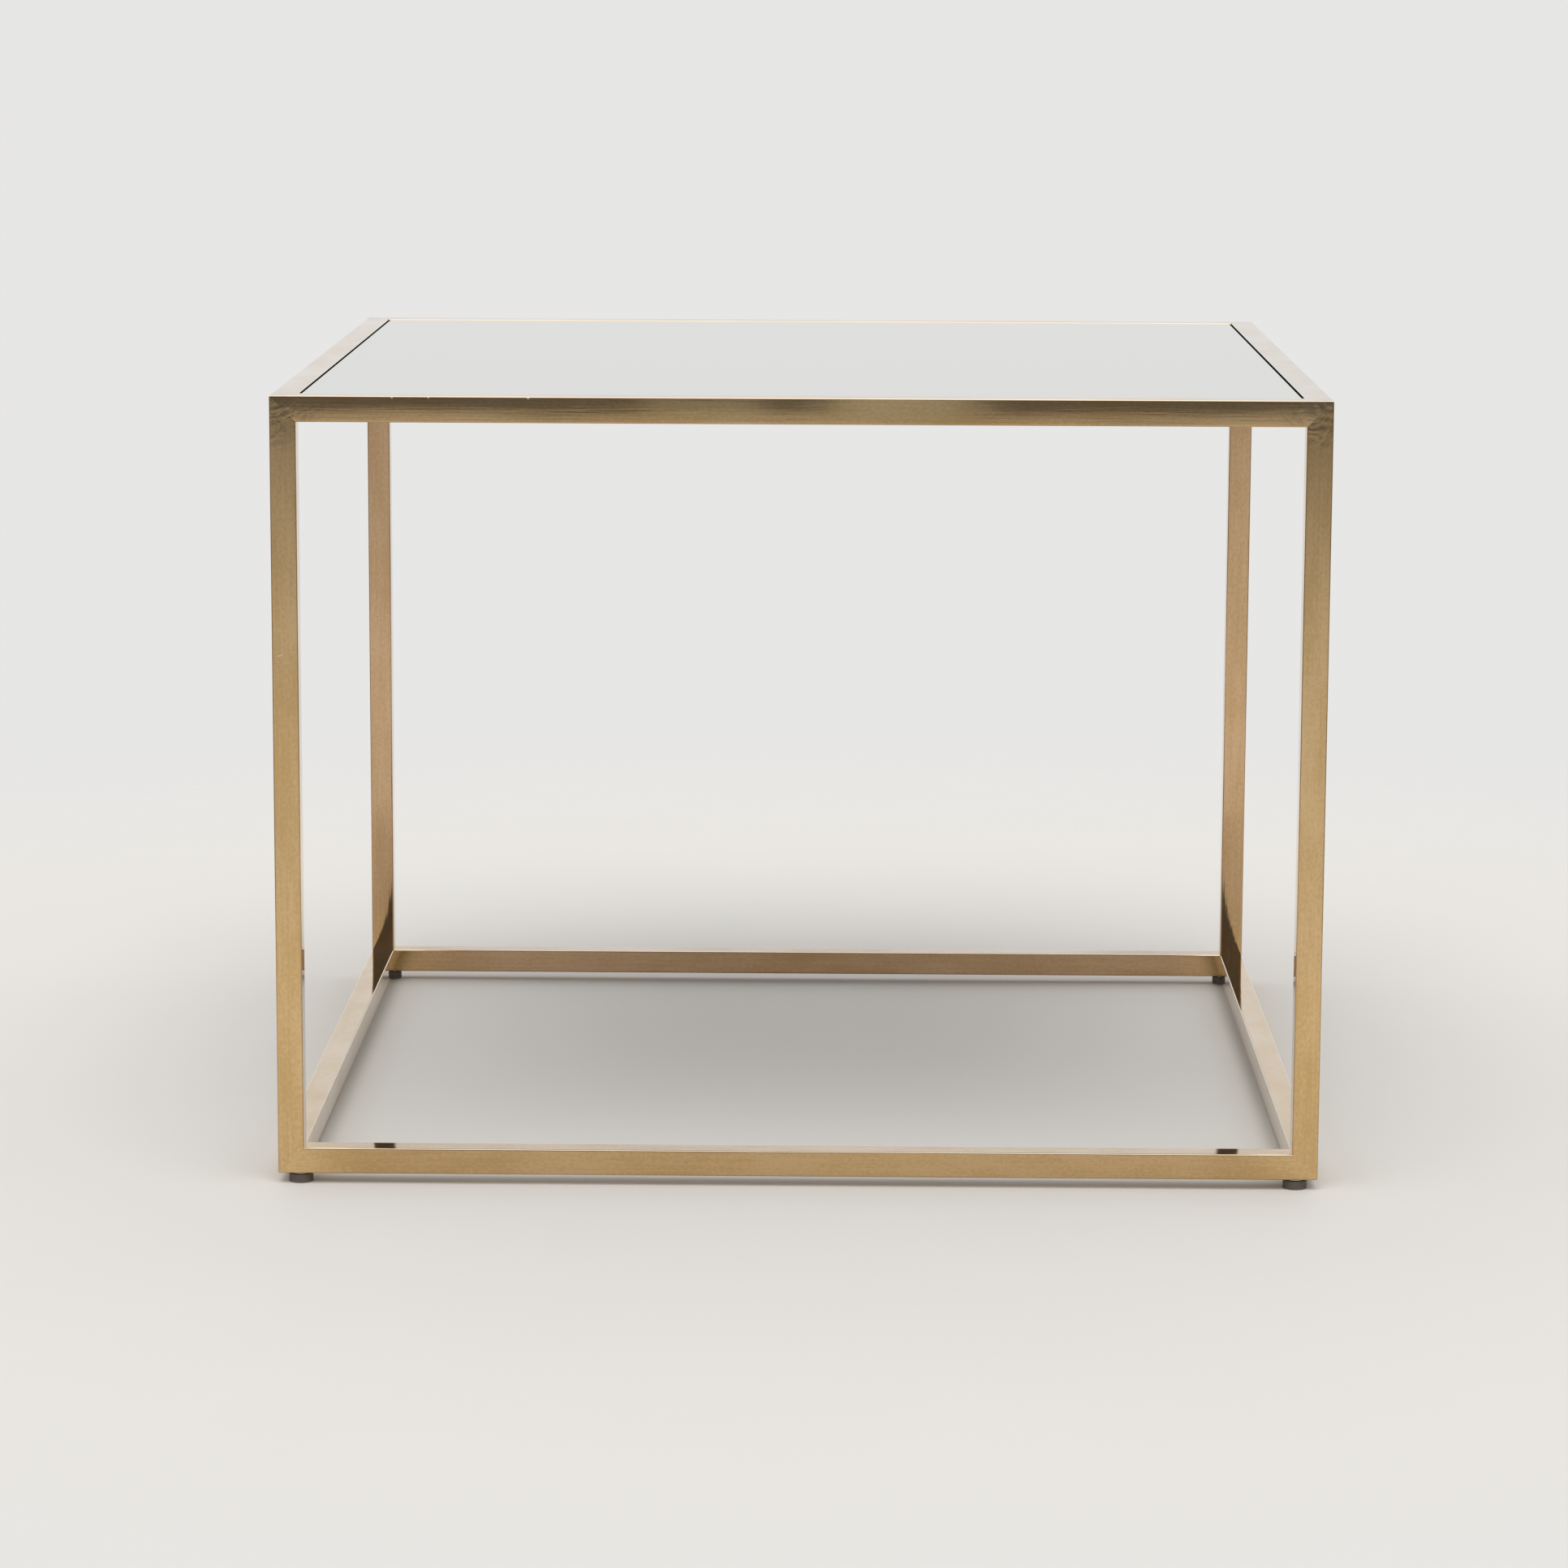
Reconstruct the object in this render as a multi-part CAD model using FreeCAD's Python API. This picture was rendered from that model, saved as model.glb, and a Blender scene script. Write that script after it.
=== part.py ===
import FreeCAD, Part

import os

# Square side table. A cube-shaped frame of polished square tube carries a mirror that lies
# loose in its top, and stands on four screw-in levelling feet.
# Millimetres. +Z is up and the floor is z = 0. The table's centre is x = y = 0, its front
# faces -Y, and its feet are nearly screwed in.

# Table
TABLE_WIDTH = 600.0  # over the tubes, along X
TABLE_DEPTH = 600.0  # over the tubes, along Y
FRAME_HEIGHT = 450.0  # underside of the bottom rails to the top of the top rails
FLOOR_GAP = 6.0  # floor to the underside of the bottom rails

# Square tube
TUBE_SIDE = 15.0
TUBE_WALL = 1.5
EDGE_RADIUS = 0.8  # on the long edges and on the ground corners of the frame

# Mirror top
GLASS_THICKNESS = 5.0
GLASS_RECESS = 0.4  # top of the mirror below the top of the rails
GLASS_GAP = 1.3  # mirror's edge to the rails, all round
GLASS_ARRIS = 0.5  # chamfer along the polished edges
GLASS_CORNER_RADIUS = 1.5
BACKING_THICKNESS = 0.2  # silver and its protective paint
BACKING_MARGIN = 0.7  # backing stops this far inside the glass edge

# Ledge bars under the mirror
LEDGE_WIDTH = 12.0
LEDGE_THICKNESS = 3.0

# Soft buttons between ledge and mirror
BUMPER_DIAMETER = 8.0
BUMPER_HEIGHT = 1.5
BUMPER_FROM_CORNER = 70.0  # along the ledge, from the inner corner of the frame

# Threaded inserts in the bottom rails
FOOT_INSET = 12.5  # foot axis to the side of the table
THREAD_RADIUS = 3.0
INSERT_BODY_FLATS = 9.0  # hexagonal, so that it can't turn in its hole
INSERT_BODY_LENGTH = 9.0
INSERT_FLANGE_DIAMETER = 12.0
INSERT_FLANGE_THICKNESS = 0.6
INSERT_FIT = 0.05  # insert to its hole, all round

# Foot screws
THREAD_CLEARANCE = 0.05  # screw to insert, on the radius
SCREW_ABOVE_RAIL_UNDERSIDE = 10.5
SCREW_HEAD_DIAMETER = 9.0
SCREW_HEAD_THICKNESS = 1.2
HEX_KEY = 3.0  # across the flats of the socket in the head
HEX_DEPTH = 2.0

# Foot pads
PAD_DIAMETER = 14.0
PAD_HEIGHT = 5.0
PAD_SOLE_THICKNESS = 1.6  # under the screw's head
KEY_HOLE_DIAMETER = 5.0  # through the sole, to the socket
SWIVEL_CLEARANCE = 0.1  # screw to pad, on the radius
HEAD_END_PLAY = 0.2  # above the screw's head

# Places that follow from them
LEFT = -TABLE_WIDTH / 2
RIGHT = TABLE_WIDTH / 2
FRONT = -TABLE_DEPTH / 2
REAR = TABLE_DEPTH / 2
BOTTOM = FLOOR_GAP
TOP = FLOOR_GAP + FRAME_HEIGHT
GLASS_TOP = TOP - GLASS_RECESS
GLASS_UNDERSIDE = GLASS_TOP - GLASS_THICKNESS
BACKING_UNDERSIDE = GLASS_UNDERSIDE - BACKING_THICKNESS
LEDGE_TOP = BACKING_UNDERSIDE - BUMPER_HEIGHT
WELD_DEPTH = EDGE_RADIUS  # the ground weld fills the tube's rounded edges at a butt joint
SIDES = {"left": -1, "right": 1}
ENDS = {"front": -1, "rear": 1}


def vec(x, y, z):
    return FreeCAD.Vector(x, y, z)


def block(low, high):
    """A box between its lowest and its highest corner."""
    size = [b - a for a, b in zip(low, high)]
    return Part.makeBox(size[0], size[1], size[2], vec(*low))


def edges_along(shape, direction):
    """The straight edges of a shape that run along a direction."""
    found = []
    for edge in shape.Edges:
        start, end = edge.Vertexes[0].Point, edge.Vertexes[-1].Point
        if abs((end - start).normalize().dot(direction)) > 0.999:
            found.append(edge)
    return found


def revolved(outline, x, y, z):
    """A solid turned about a vertical axis, from the (radius, height) points of its outline."""
    points = [vec(radius, 0, height) for radius, height in outline]
    face = Part.Face(Part.makePolygon(points + points[:1]))
    solid = face.revolve(vec(0, 0, 0), vec(0, 0, 1), 360)
    solid.translate(vec(x, y, z))
    return solid


def hexagonal_prism(flats, height, place):
    """An upright hexagonal prism that stands on a place, by its size across the flats."""
    corner = vec(flats / 3**0.5, 0, 0)
    corners = [FreeCAD.Rotation(vec(0, 0, 1), 60 * turn).multVec(corner) for turn in range(7)]
    prism = Part.Face(Part.makePolygon(corners)).extrude(vec(0, 0, height))
    prism.translate(place)
    return prism


def square_tube(length, sharp=()):
    """A tube along +X. Its square starts at y = 0 and z = 0.

    Its long edges are rounded, except the ones whose (y, z) place is in sharp."""
    outer = Part.makeBox(length, TUBE_SIDE, TUBE_SIDE)
    rounded = [
        edge
        for edge in edges_along(outer, vec(1, 0, 0))
        if (edge.Vertexes[0].Point.y, edge.Vertexes[0].Point.z) not in sharp
    ]
    outer = outer.makeFillet(EDGE_RADIUS, rounded)
    hollow = TUBE_SIDE - 2 * TUBE_WALL
    bore = Part.makeBox(length, hollow, hollow, vec(0, TUBE_WALL, TUBE_WALL))
    return outer.cut(bore)


def mitred_tube(length):
    """A tube along +X with both ends cut at 45 degrees, longest on its lower face, z = 0.

    Its lower edge at y = 0 lies on the outside of the cube, and is rounded with its corners."""
    corners = [
        vec(0, 0, 0),
        vec(length, 0, 0),
        vec(length - TUBE_SIDE, 0, TUBE_SIDE),
        vec(TUBE_SIDE, 0, TUBE_SIDE),
    ]
    between_cuts = Part.Face(Part.makePolygon(corners + corners[:1]))
    tube = square_tube(length, sharp=[(0, 0)])
    return tube.common(between_cuts.extrude(vec(0, TUBE_SIDE, 0)))


def ground_envelope():
    """The outside of the whole frame, with the corners that the welder grinds round."""
    cube = block((LEFT, FRONT, BOTTOM), (RIGHT, REAR, TOP))
    return cube.makeFillet(EDGE_RADIUS, cube.Edges)


def foot_places():
    """The axis of each foot, under the centre line of the front or the rear bottom rail."""
    places = {}
    for end, toward_rear in ENDS.items():
        for side, toward_right in SIDES.items():
            x = toward_right * (TABLE_WIDTH / 2 - FOOT_INSET)
            y = toward_rear * (TABLE_DEPTH - TUBE_SIDE) / 2
            places[f"{end}_{side}"] = (x, y)
    return places


def front_frame():
    """Four mitred tubes round an upright rectangle, with the cube's outer edges ground round."""
    across = vec(0, 1, 0)
    turned = {
        "bottom_rail": (TABLE_WIDTH, 0, vec(LEFT, FRONT, BOTTOM)),
        "right_leg": (FRAME_HEIGHT, -90, vec(RIGHT, FRONT, BOTTOM)),
        "top_rail": (TABLE_WIDTH, 180, vec(RIGHT, FRONT, TOP)),
        "left_leg": (FRAME_HEIGHT, 90, vec(LEFT, FRONT, TOP)),
    }
    envelope = ground_envelope()
    cuts = weld_seats() + insert_holes()
    tubes = {}
    for name, (length, angle, corner) in turned.items():
        tube = mitred_tube(length)
        tube.Placement = FreeCAD.Placement(corner, FreeCAD.Rotation(across, angle))
        tubes[name] = tube.common(envelope).cut(cuts)
    return tubes


def side_rails():
    """The four tubes that run from the front frame to the rear frame, welded into both."""
    length = TABLE_DEPTH - 2 * (TUBE_SIDE - WELD_DEPTH)
    turn = FreeCAD.Rotation(vec(0, 0, 1), 90)
    rails = {}
    for side, right_face in {"left": LEFT + TUBE_SIDE, "right": RIGHT}.items():
        for level, underside in {"bottom": BOTTOM, "top": TOP - TUBE_SIDE}.items():
            rail = square_tube(length)
            start = vec(right_face, FRONT + TUBE_SIDE - WELD_DEPTH, underside)
            rail.Placement = FreeCAD.Placement(start, turn)
            rails[f"{side}_{level}_rail"] = rail
    return rails


def weld_seats():
    """The shallow seats in the back of the front frame that the side rails' ends fill."""
    seats = []
    y_low = FRONT + TUBE_SIDE - WELD_DEPTH
    for x_low in (LEFT, RIGHT - TUBE_SIDE):
        for z_low in (BOTTOM, TOP - TUBE_SIDE):
            low = (x_low, y_low, z_low)
            high = (x_low + TUBE_SIDE, y_low + WELD_DEPTH, z_low + TUBE_SIDE)
            seats.append(block(low, high))
    return seats


def insert_holes():
    """The hexagonal holes in the underside of the front bottom rail."""
    flats = INSERT_BODY_FLATS + 2 * INSERT_FIT
    start = BOTTOM - TUBE_WALL
    return [
        hexagonal_prism(flats, 3 * TUBE_WALL, vec(x, y, start))
        for place, (x, y) in foot_places().items()
        if place.startswith("front")
    ]


def frame_tubes():
    """The twelve tubes of the cube. The rear frame is the front one mirrored."""
    tubes = {}
    for member, tube in front_frame().items():
        tubes[f"front_{member}"] = tube
        tubes[f"rear_{member}"] = tube.mirror(vec(0, 0, 0), vec(0, 1, 0))
    tubes.update(side_rails())
    return tubes


def ledges():
    """Flat bars welded inside the top rails. The front and rear ones run right across."""
    inner_left, inner_right = LEFT + TUBE_SIDE, RIGHT - TUBE_SIDE
    inner_front, inner_rear = FRONT + TUBE_SIDE, REAR - TUBE_SIDE
    z_low = LEDGE_TOP - LEDGE_THICKNESS
    plan = {
        "front": (inner_left, inner_front, inner_right, inner_front + LEDGE_WIDTH),
        "rear": (inner_left, inner_rear - LEDGE_WIDTH, inner_right, inner_rear),
        "left": (
            inner_left,
            inner_front + LEDGE_WIDTH,
            inner_left + LEDGE_WIDTH,
            inner_rear - LEDGE_WIDTH,
        ),
        "right": (
            inner_right - LEDGE_WIDTH,
            inner_front + LEDGE_WIDTH,
            inner_right,
            inner_rear - LEDGE_WIDTH,
        ),
    }
    return {
        f"{side}_ledge": block((x0, y0, z_low), (x1, y1, LEDGE_TOP))
        for side, (x0, y0, x1, y1) in plan.items()
    }


def bumpers():
    """Two soft buttons on each ledge, as one group."""
    ledge_x = TABLE_WIDTH / 2 - TUBE_SIDE - LEDGE_WIDTH / 2
    ledge_y = TABLE_DEPTH / 2 - TUBE_SIDE - LEDGE_WIDTH / 2
    along_x = TABLE_WIDTH / 2 - TUBE_SIDE - BUMPER_FROM_CORNER
    along_y = TABLE_DEPTH / 2 - TUBE_SIDE - BUMPER_FROM_CORNER
    places = [
        vec(sx * x, sy * y, LEDGE_TOP)
        for x, y in ((along_x, ledge_y), (ledge_x, along_y))
        for sx in (-1, 1)
        for sy in (-1, 1)
    ]
    radius = BUMPER_DIAMETER / 2
    return Part.makeCompound(
        [Part.makeCylinder(radius, BUMPER_HEIGHT, place) for place in places]
    )


def mirror_plate(margin, underside, thickness, arris):
    """A rectangular plate in the top, with rounded corners and chamfered edges."""
    half_x = TABLE_WIDTH / 2 - TUBE_SIDE - margin
    half_y = TABLE_DEPTH / 2 - TUBE_SIDE - margin
    plate = block(
        (-half_x, -half_y, underside), (half_x, half_y, underside + thickness)
    )
    plate = plate.makeFillet(GLASS_CORNER_RADIUS, edges_along(plate, vec(0, 0, 1)))
    if not arris:
        return plate
    rims = [
        edge
        for edge in plate.Edges
        if abs(edge.BoundBox.ZMax - edge.BoundBox.ZMin) < thickness / 2
    ]
    return plate.makeChamfer(arris, rims)


def foot_insert(x, y):
    """A hexagonal threaded insert, set into the bottom rail from below, with a round flange."""
    underside = vec(x, y, BOTTOM - INSERT_FLANGE_THICKNESS)
    length = INSERT_FLANGE_THICKNESS + INSERT_BODY_LENGTH
    flange = Part.makeCylinder(INSERT_FLANGE_DIAMETER / 2, INSERT_FLANGE_THICKNESS, underside)
    body = hexagonal_prism(INSERT_BODY_FLATS, length, underside)
    bore = Part.makeCylinder(THREAD_RADIUS, length, underside)
    return flange.fuse(body).removeSplitter().cut(bore)


def foot_screw(x, y):
    """A foot's screw, head down, with a hexagon socket in its head."""
    shank = THREAD_RADIUS - THREAD_CLEARANCE
    head = SCREW_HEAD_DIAMETER / 2
    tip = BOTTOM + SCREW_ABOVE_RAIL_UNDERSIDE - PAD_SOLE_THICKNESS
    outline = [
        (0, 0),
        (head, 0),
        (head, SCREW_HEAD_THICKNESS),
        (shank, SCREW_HEAD_THICKNESS),
        (shank, tip),
        (0, tip),
    ]
    screw = revolved(outline, x, y, PAD_SOLE_THICKNESS)
    socket = hexagonal_prism(HEX_KEY, HEX_DEPTH, vec(x, y, PAD_SOLE_THICKNESS))
    return screw.cut(socket)


def foot_pad(x, y):
    """A plastic glide snapped over the screw's head, which can turn in it."""
    cavity = SCREW_HEAD_DIAMETER / 2 + SWIVEL_CLEARANCE
    neck = THREAD_RADIUS - THREAD_CLEARANCE + SWIVEL_CLEARANCE
    cavity_top = PAD_SOLE_THICKNESS + SCREW_HEAD_THICKNESS + HEAD_END_PLAY
    key_hole = KEY_HOLE_DIAMETER / 2
    outline = [
        (key_hole, 0),
        (PAD_DIAMETER / 2, 0),
        (PAD_DIAMETER / 2, PAD_HEIGHT),
        (neck, PAD_HEIGHT),
        (neck, cavity_top),
        (cavity, cavity_top),
        (cavity, PAD_SOLE_THICKNESS),
        (key_hole, PAD_SOLE_THICKNESS),
    ]
    return revolved(outline, x, y, 0)


def table():
    """Every node of the table and its shape."""
    nodes = frame_tubes()
    nodes.update(ledges())
    nodes["ledge_bumpers"] = bumpers()
    nodes["mirror_glass"] = mirror_plate(
        GLASS_GAP, GLASS_UNDERSIDE, GLASS_THICKNESS, GLASS_ARRIS
    )
    nodes["mirror_backing"] = mirror_plate(
        GLASS_GAP + BACKING_MARGIN, BACKING_UNDERSIDE, BACKING_THICKNESS, 0
    )
    for place, (x, y) in foot_places().items():
        nodes[f"{place}_foot_insert"] = foot_insert(x, y)
        nodes[f"{place}_foot_screw"] = foot_screw(x, y)
        nodes[f"{place}_foot_pad"] = foot_pad(x, y)
    return nodes


os.makedirs("parts", exist_ok=True)
for node, shape in table().items():
    if not shape.isValid():
        raise ValueError(f"{node} is not a valid solid")
    shape.exportStep(f"parts/{node}.step")
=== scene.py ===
import math

import bmesh
import bpy
from mathutils import Matrix, Vector


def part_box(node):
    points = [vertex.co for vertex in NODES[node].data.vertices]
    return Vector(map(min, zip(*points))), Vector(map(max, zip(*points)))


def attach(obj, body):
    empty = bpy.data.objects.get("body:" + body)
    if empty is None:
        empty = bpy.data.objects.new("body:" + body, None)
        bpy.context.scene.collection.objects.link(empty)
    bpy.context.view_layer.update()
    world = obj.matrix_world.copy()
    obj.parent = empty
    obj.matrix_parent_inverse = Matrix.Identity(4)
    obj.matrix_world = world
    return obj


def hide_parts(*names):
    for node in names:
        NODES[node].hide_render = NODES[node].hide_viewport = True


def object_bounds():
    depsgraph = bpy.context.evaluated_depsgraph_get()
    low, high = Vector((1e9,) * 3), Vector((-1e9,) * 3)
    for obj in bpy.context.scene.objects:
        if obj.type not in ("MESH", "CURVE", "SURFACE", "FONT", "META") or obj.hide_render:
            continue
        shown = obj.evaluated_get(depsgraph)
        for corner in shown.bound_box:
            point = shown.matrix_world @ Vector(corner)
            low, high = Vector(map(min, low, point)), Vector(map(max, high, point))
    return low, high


bl_info = {
    "name": "Mirror Top Side Table",
    "version": (1, 0, 0),
    "blender": (4, 5, 0),
    "location": "View3D > Sidebar > Side Table",
    "description": "Finishes a square side table of polished tube with a mirror top",
    "category": "Add Mesh",
}

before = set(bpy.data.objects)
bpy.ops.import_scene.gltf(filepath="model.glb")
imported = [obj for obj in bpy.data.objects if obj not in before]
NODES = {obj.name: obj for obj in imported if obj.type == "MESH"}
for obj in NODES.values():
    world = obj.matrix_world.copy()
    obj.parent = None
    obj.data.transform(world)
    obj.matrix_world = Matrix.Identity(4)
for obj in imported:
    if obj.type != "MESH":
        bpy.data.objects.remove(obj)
CAD_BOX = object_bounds()


# ---------------------------------------------------------------- the table's own places, in metres

TUBES = [
    f"{end}_{member}"
    for end in ("front", "rear")
    for member in ("top_rail", "bottom_rail", "left_leg", "right_leg")
] + [f"{side}_{level}_rail" for side in ("left", "right") for level in ("top", "bottom")]
LEDGES = [f"{side}_ledge" for side in ("front", "rear", "left", "right")]
FEET = [f"{end}_{side}" for end in ("front", "rear") for side in ("left", "right")]
OUTWARD = {"front": (0, -1, 0), "rear": (0, 1, 0), "left": (-1, 0, 0), "right": (1, 0, 0)}
TOP_OF_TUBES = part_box("front_top_rail")[1].z

# tubes whose polished faces look down a little
LEANING = ["rear_left_leg", "rear_right_leg", "rear_bottom_rail"]
# tubes with fainter waves and clouds, and the share of them that they keep
CALM = ["left_bottom_rail", "right_bottom_rail", "left_top_rail", "right_top_rail"]
CALM_SHARE = 0.25
# painted shade: the share of each colour left in the middle of each listed tube, darkened to stand in
# for the darker reflections its faces show
UNSHADED = (1.0, 1.0, 1.0)
PAINTED_SHADE = {
    "rear_left_leg": (0.86, 0.84, 1.0), "rear_right_leg": (0.90, 0.88, 1.0),
    "rear_bottom_rail": (0.78, 0.75, 0.88), "front_bottom_rail": (0.83, 0.81, 0.81),
    "left_bottom_rail": (0.92, 0.94, 0.97), "right_bottom_rail": (0.945, 0.965, 0.98),
    "right_top_rail": (0.865, 0.88, 0.90),
}
# the painted shade starts this far from a tube's welded end, and is full this far from it
PAINTED_SHADE_STARTS = 0.004
PAINTED_SHADE_FULL = 0.055
# scratches by tube: centre, half the length, half the width and slope
TOP_FRONT_EDGE = (-0.2998, 0.4552)
NICK_HALF_WIDTH = 0.0008
SCRATCHES = {
    "front_left_leg": [((-0.2955, -0.30, 0.308), 0.0028, 0.0005, 0.35)],
    "front_top_rail": [
        ((x, *TOP_FRONT_EDGE), half_length, NICK_HALF_WIDTH, 0.0)
        for x, half_length in ((-0.2305, 0.0009), (-0.2099, 0.0007), (-0.1536, 0.0012))
    ],
}
# the polisher's swirls round the top corners: reach, rings in radians a metre, and their drift
SMEAR_REACH = 0.036
SWIRL_TURNS = 900.0
SWIRL_DRIFT = 30.0
# below a rail's top, where the painted highlight along its upper edges starts and is full
HIGHLIGHT_EDGE_STARTS = 0.0007
HIGHLIGHT_EDGE_FULL = 0.0003
# heights given to the bump nodes are in millimetres
MILLIMETRES = 1000

# tack welds under each ledge: their places along it, from its middle, and their size
WELD_SHARES = (-0.42, -0.14, 0.14, 0.42)
WELD_LENGTH = 0.016
WELD_RADIUS = 0.0016
WELD_SCALLOPS = 6

# the foot screws
SHANK_RADIUS = 0.00295
HEAD_HEIGHT = 0.0012
HEAD_BEVEL = 0.0002
SOCKET_FLATS = 0.003
SOCKET_DEPTH = 0.0011

# vertices nearer than this are one
SAME_PLACE = 1e-6
# in millimetres, as the lens is
SENSOR_WIDTH = 36.0


# ---------------------------------------------------------------- sizes and colours

class BrassSettings(bpy.types.PropertyGroup):
    """The polished tube."""

    gold: bpy.props.FloatVectorProperty(
        name="Gold", description="Colour of the clean polished metal",
        subtype="COLOR", size=3, default=(0.735, 0.504, 0.248))
    deep_gold: bpy.props.FloatVectorProperty(
        name="Deep gold", description="Colour of the faintly tarnished clouds in the metal",
        subtype="COLOR", size=3, default=(0.615, 0.408, 0.176))
    smear: bpy.props.FloatVectorProperty(
        name="Buffing smear", description="Colour left where the corner welds were buffed",
        subtype="COLOR", size=3, default=(0.27, 0.215, 0.135))
    # painted shade: the rim colour is painted along the tubes' long edges, standing in for the dark
    # lines their rounded edges show
    rim: bpy.props.FloatVectorProperty(
        name="Rim", description="Colour of the lacquer gathered along the tubes' edges",
        subtype="COLOR", size=3, default=(0.30, 0.175, 0.11))
    # this colour is used for scratches and also as a painted highlight along the tubes' upper edges
    scratch_and_highlight: bpy.props.FloatVectorProperty(
        name="Scratch", description="Colour of the bare metal in a scratch",
        subtype="COLOR", size=3, default=(0.90, 0.80, 0.66))
    lacquer: bpy.props.FloatProperty(
        name="Lacquer", description="Weight of the clear lacquer over the metal", default=0.6,
        min=0.0, max=1.0)
    roughness: bpy.props.FloatProperty(
        name="Roughness", description="Roughness of the polished faces", default=0.045,
        min=0.0, max=1.0)
    pillow: bpy.props.FloatProperty(
        name="Pillow", description="Fall of each face from its middle to its edge after polishing",
        subtype="DISTANCE", default=0.000048, min=0.0, max=0.001, precision=6)
    wave: bpy.props.FloatProperty(
        name="Wave", description="Height of the long waves that polishing leaves",
        subtype="DISTANCE", default=0.0003, min=0.0, max=0.002, precision=6)
    rear_lean: bpy.props.FloatProperty(
        name="Rear lean", description="How far the polished rear legs look down",
        subtype="ANGLE", default=0.02, min=0.0, max=0.1)
    grain: bpy.props.FloatProperty(
        name="Grain", description="Height of the fine lines along each tube",
        subtype="DISTANCE", default=0.000011, min=0.0, max=0.0005, precision=7)


class MirrorSettings(bpy.types.PropertyGroup):
    """The mirror and what it lies on."""

    glass: bpy.props.FloatVectorProperty(
        name="Glass", description="Tint of the float glass at its edges", subtype="COLOR", size=3,
        default=(0.055, 0.10, 0.08))
    silver: bpy.props.FloatVectorProperty(
        name="Silver", description="Colour of the silvering", subtype="COLOR", size=3,
        default=(0.76, 0.775, 0.76))
    paint: bpy.props.FloatVectorProperty(
        name="Back paint", description="Colour of the protective paint", subtype="COLOR", size=3,
        default=(0.16, 0.17, 0.165))
    button_dome: bpy.props.FloatProperty(
        name="Button dome", description="Rounding of the soft buttons' rims",
        subtype="DISTANCE", default=0.0006, min=0.0, max=0.0014, precision=5)


class FootSettings(bpy.types.PropertyGroup):
    """The levelling feet."""

    thread_pitch: bpy.props.FloatProperty(
        name="Thread pitch", description="Rise of the thread in one turn",
        subtype="DISTANCE", default=0.001, min=0.0005, max=0.002, precision=5)
    thread_depth: bpy.props.FloatProperty(
        name="Thread depth", description="Crest to root",
        subtype="DISTANCE", default=0.00055, min=0.0001, max=0.001, precision=6)
    plastic: bpy.props.FloatVectorProperty(
        name="Plastic", description="Colour of the glides", subtype="COLOR", size=3,
        default=(0.112, 0.094, 0.080))
    dust: bpy.props.FloatVectorProperty(
        name="Dust", description="Colour of the floor dust on the glides", subtype="COLOR", size=3,
        default=(0.21, 0.20, 0.18))
    steel: bpy.props.FloatVectorProperty(
        name="Zinc", description="Colour of the plated screws and inserts", subtype="COLOR", size=3,
        default=(0.60, 0.60, 0.57))


class StageSettings(bpy.types.PropertyGroup):
    """Floor, light and camera."""

    floor: bpy.props.FloatVectorProperty(
        name="Floor", description="Colour of the floor", subtype="COLOR", size=3,
        default=(0.765, 0.75, 0.725))
    surround: bpy.props.FloatVectorProperty(
        name="Surround", description="Colour of the pale room round the floor",
        subtype="COLOR", size=3, default=(0.80, 0.795, 0.79))
    floor_radius: bpy.props.FloatProperty(
        name="Floor radius", description="Where the floor has faded into the surround",
        subtype="DISTANCE", default=1.45, min=0.5, max=10.0)
    floor_solid: bpy.props.FloatProperty(
        name="Solid floor radius", description="Where the floor starts to fade",
        subtype="DISTANCE", default=0.80, min=0.3, max=10.0)
    lamp_strength: bpy.props.FloatProperty(
        name="Lamp strength", description="Strength of the soft lamp", default=1.3, min=0.0, max=10.0)
    lamp_spread: bpy.props.FloatProperty(
        name="Lamp spread", description="How wide the soft lamp looks from the table",
        subtype="ANGLE", default=math.radians(50))
    lamp_tilt: bpy.props.FloatProperty(
        name="Lamp tilt", description="Lean of the soft lamp's light, from straight down to the rear",
        subtype="ANGLE", default=math.radians(25))
    lens: bpy.props.FloatProperty(
        name="Lens", description="Focal length on a 36 mm sensor", default=116.96,
        min=20.0, max=300.0)
    camera_place: bpy.props.FloatVectorProperty(
        name="Camera", description="Where the camera stands", subtype="TRANSLATION", size=3,
        default=(0.0278, -3.164, 0.711))
    camera_turn: bpy.props.FloatProperty(
        name="Turn", description="Heading, to the right of straight ahead",
        subtype="ANGLE", default=math.radians(-0.728))
    camera_tilt: bpy.props.FloatProperty(
        name="Tilt", description="Downward tilt", subtype="ANGLE", default=math.radians(9.42))
    camera_roll: bpy.props.FloatProperty(
        name="Roll", description="Roll about the line of sight",
        subtype="ANGLE", default=math.radians(0.235))


class SideTableSettings(bpy.types.PropertyGroup):
    """All the settings of the side table."""

    brass: bpy.props.PointerProperty(type=BrassSettings, name="Brass", description="Polished tube")
    mirror: bpy.props.PointerProperty(type=MirrorSettings, name="Mirror", description="Mirror top")
    feet: bpy.props.PointerProperty(type=FootSettings, name="Feet", description="Levelling feet")
    stage: bpy.props.PointerProperty(
        type=StageSettings, name="Stage", description="Floor, light and camera")


# ---------------------------------------------------------------- node helpers

def add_node(tree, kind, inputs=None, **settings):
    """Adds a node; inputs gives its sockets a value, or another node's output to follow."""
    made = tree.nodes.new(kind)
    for name, value in settings.items():
        setattr(made, name, value)
    for socket, value in (inputs or {}).items():
        if isinstance(value, bpy.types.NodeSocket):
            tree.links.new(value, made.inputs[socket])
        else:
            made.inputs[socket].default_value = value
    return made


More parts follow.
